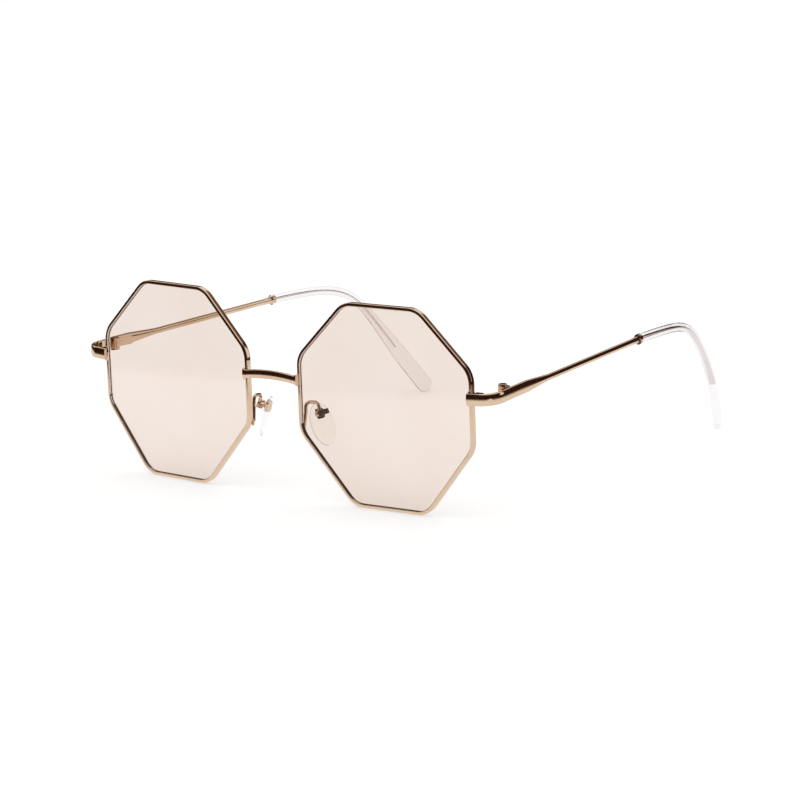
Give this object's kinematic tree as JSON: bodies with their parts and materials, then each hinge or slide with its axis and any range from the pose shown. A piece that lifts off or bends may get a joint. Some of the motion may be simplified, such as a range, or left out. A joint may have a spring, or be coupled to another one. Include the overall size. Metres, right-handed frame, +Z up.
{
  "type": "octagonal eyeglasses",
  "caption": "Thin metal sunglasses with octagonal tinted lenses, folding temples, clear temple tips and rocking nose pads.",
  "frame": {"origin": "under the middle of the open glasses, on the plane they stand on", "axes": "+Z up, +Y from the lenses towards the temple tips, +X to the wearer's left"},
  "size_m": [0.1518, 0.1414, 0.0576],
  "materials": {
    "rose_gold": "polished",
    "screw_metal": "satin",
    "tinted_lens": "clear",
    "clear_acetate": "clear",
    "clear_pad": "clear"
  },
  "bodies": {
    "frame": {"bridge": "rose_gold", "left_rim": "rose_gold", "left_lens": "tinted_lens", "left_end_piece": "rose_gold", "left_rim_lock_upper": "rose_gold", "left_rim_lock_lower": "rose_gold", "left_rim_lock_screw": "screw_metal", "left_front_hinge": "rose_gold", "left_hinge_screw": "screw_metal", "left_pad_arm": "rose_gold", "left_pad_box": "rose_gold", "left_pad_screw": "screw_metal", "right_rim": "rose_gold", "right_lens": "tinted_lens", "right_end_piece": "rose_gold", "right_rim_lock_upper": "rose_gold", "right_rim_lock_lower": "rose_gold", "right_rim_lock_screw": "screw_metal", "right_front_hinge": "rose_gold", "right_hinge_screw": "screw_metal", "right_pad_arm": "rose_gold", "right_pad_box": "rose_gold", "right_pad_screw": "screw_metal"},
    "left_temple_body": {"left_temple_hinge": "rose_gold", "left_temple": "rose_gold", "left_temple_tip": "clear_acetate"},
    "left_pad_body": {"left_nose_pad": "clear_pad", "left_pad_insert": "screw_metal"},
    "right_temple_body": {"right_temple_hinge": "rose_gold", "right_temple": "rose_gold", "right_temple_tip": "clear_acetate"},
    "right_pad_body": {"right_nose_pad": "clear_pad", "right_pad_insert": "screw_metal"}
  },
  "joints": [
    {"name": "left_temple_fold", "type": "hinge", "parent": "frame", "child": "left_temple_body", "pos_m": [0.07191, -0.05707, 0.03525], "axis": [0, 0, 1], "range_deg": [0, 85]},
    {"name": "right_temple_fold", "type": "hinge", "parent": "frame", "child": "right_temple_body", "pos_m": [-0.07191, -0.05707, 0.03525], "axis": [0, 0, -1], "range_deg": [0, 81]},
    {"name": "left_pad_rock", "type": "hinge", "parent": "frame", "child": "left_pad_body", "pos_m": [0.01149, -0.06148, 0.02399], "axis": [0.42, 0.8946, 0.1529], "range_deg": [-7, 7]},
    {"name": "right_pad_rock", "type": "hinge", "parent": "frame", "child": "right_pad_body", "pos_m": [-0.01149, -0.06148, 0.02399], "axis": [-0.42, 0.8946, 0.1529], "range_deg": [-7, 7]}
  ]
}
